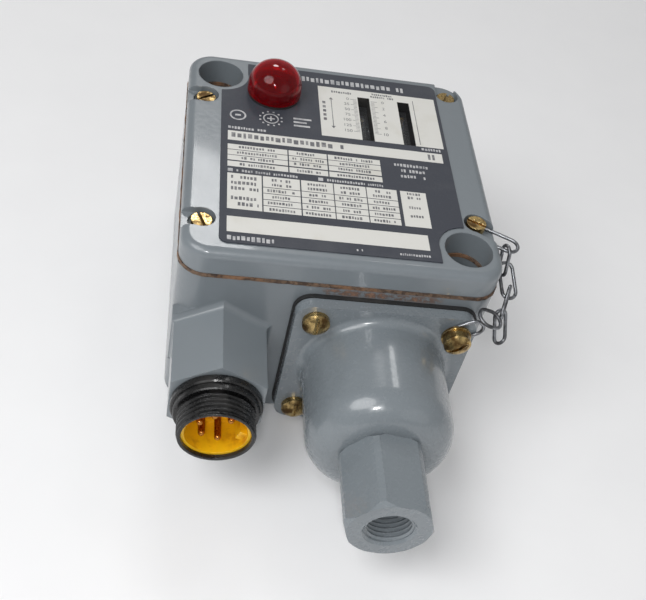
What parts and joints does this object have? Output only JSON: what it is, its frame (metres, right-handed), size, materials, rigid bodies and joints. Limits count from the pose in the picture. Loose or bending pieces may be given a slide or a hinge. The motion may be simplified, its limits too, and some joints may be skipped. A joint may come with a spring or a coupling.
{
  "type": "pressure switch",
  "caption": "Square cast pressure switch with bellows module and threaded port, pilot light, adjustment windows, multi-pin receptacle and chained cover.",
  "frame": {"origin": "centre of the square mounting face at the back of the enclosure", "axes": "+Z out of the front cover, +Y towards the top of the device as mounted, +X to the right seen from the front; the pressure port and the receptacle point to -Y"},
  "size_m": [0.1011, 0.1557, 0.0764],
  "materials": {
    "enclosure_paint": "semi-gloss grey enamel on cast aluminium",
    "module_paint": "semi-gloss grey enamel on steel",
    "cork": "matt cork and rubber sheet",
    "yellow_brass": "bright",
    "contact_alloy": "satin",
    "label": "matt printed plate",
    "pane": "clear",
    "black_rubber": "matt",
    "red_lens": "translucent red",
    "black_plastic": "moulded, satin",
    "bright_steel": "zinc plated",
    "bulb_glass": "clear",
    "yellow_plastic": "moulded, satin",
    "wire_cover": "PVC",
    "phenolic": "phenolic moulding",
    "plunger_plastic": "acetal",
    "green_steel": "green passivated"
  },
  "bodies": {
    "enclosure": {"base_housing": "enclosure_paint", "cover_gasket": "cork", "chain_washers": "yellow_brass", "connector_shell": "black_plastic", "connector_insert": "yellow_plastic", "connector_pins": "yellow_brass", "connector_wires": "wire_cover", "flange_gasket": "black_rubber", "pressure_housing": "module_paint", "flange_screws": "yellow_brass", "port_fitting": "module_paint", "rod_guide": "yellow_brass", "mechanism_frame": "bright_steel", "frame_screws": "bright_steel", "pivot_pin": "bright_steel", "pivot_spacer": "yellow_brass", "pivot_clip": "bright_steel", "guide_posts": "bright_steel", "guide_plate": "black_plastic", "guide_plate_screws": "bright_steel", "contact_base": "phenolic", "contact_cover": "phenolic", "fixed_contacts": "contact_alloy", "terminal_screws": "yellow_brass", "contact_block_screws": "bright_steel", "ground_screw": "green_steel", "bellows": "yellow_brass", "plunger_spring": "bright_steel", "range_spring": "bright_steel", "differential_spring": "bright_steel", "lamp_leads": "wire_cover", "chain_links": "bright_steel", "chain_ring": "bright_steel"},
    "cover": {"front_cover": "enclosure_paint", "cover_screws": "yellow_brass", "label_plate": "label", "window_pane": "pane", "lens_gasket": "black_rubber", "lamp_socket": "black_plastic", "lamp_nut": "bright_steel", "lamp_bulb": "bulb_glass", "lamp_bulb_base": "yellow_brass", "lamp_terminals": "yellow_brass", "chain_anchor_link": "bright_steel"},
    "lens": {"pilot_lens": "red_lens"},
    "range_spindle": {"range_screw": "yellow_brass"},
    "range_pointer": {"range_nut": "yellow_brass"},
    "differential_spindle": {"differential_screw": "bright_steel"},
    "differential_pointer": {"differential_nut": "yellow_brass"},
    "rod": {"bellows_cap": "bright_steel", "push_rod": "bright_steel"},
    "lever": {"main_lever": "bright_steel"},
    "plunger": {"contact_plunger": "plunger_plastic", "contact_bridge": "contact_alloy"}
  },
  "joints": [
    {"name": "cover_lift", "type": "slide", "parent": "enclosure", "child": "cover", "axis": [0, 0, 1], "range_m": [0, 0.015], "deforming": ["chain_links", "chain_ring", "lamp_leads"]},
    {"name": "lens_pull", "type": "slide", "parent": "cover", "child": "lens", "axis": [0, 0, 1], "range_m": [0, 0.015]},
    {"name": "range_turn", "type": "hinge", "parent": "enclosure", "child": "range_spindle", "pos_m": [0.0105, 0, 0.036], "axis": [0, 1, 0], "range_deg": [0, 5043]},
    {"name": "range_travel", "type": "slide", "parent": "enclosure", "child": "range_pointer", "axis": [0, -1, 0], "range_m": [0, 0.0175], "deforming": ["range_spring"]},
    {"name": "differential_turn", "type": "hinge", "parent": "enclosure", "child": "differential_spindle", "pos_m": [0.024, 0, 0.036], "axis": [0, 1, 0], "range_deg": [0, 5043]},
    {"name": "differential_travel", "type": "slide", "parent": "enclosure", "child": "differential_pointer", "axis": [0, -1, 0], "range_m": [0, 0.0175], "deforming": ["differential_spring"]},
    {"name": "rod_travel", "type": "slide", "parent": "enclosure", "child": "rod", "axis": [0, 1, 0], "range_m": [0, 0.0008], "stiffness_N_per_m": 2000, "deforming": ["bellows"]},
    {"name": "lever_tilt", "type": "hinge", "parent": "enclosure", "child": "lever", "pos_m": [0.034, -0.013, 0.031], "axis": [0, 0, -1], "range_deg": [0, 2.39]},
    {"name": "plunger_travel", "type": "slide", "parent": "enclosure", "child": "plunger", "axis": [0, 1, 0], "range_m": [0, 0.00226], "deforming": ["plunger_spring"]}
  ],
  "couplings": [
    {"joint": "range_turn", "follows": "range_travel", "rad_per_m": 5026.5},
    {"joint": "differential_turn", "follows": "differential_travel", "rad_per_m": 5026.5},
    {"joint": "lever_tilt", "follows": "rod_travel", "rad_per_m": 51.546},
    {"joint": "plunger_travel", "follows": "rod_travel", "ratio": 2.7835}
  ]
}
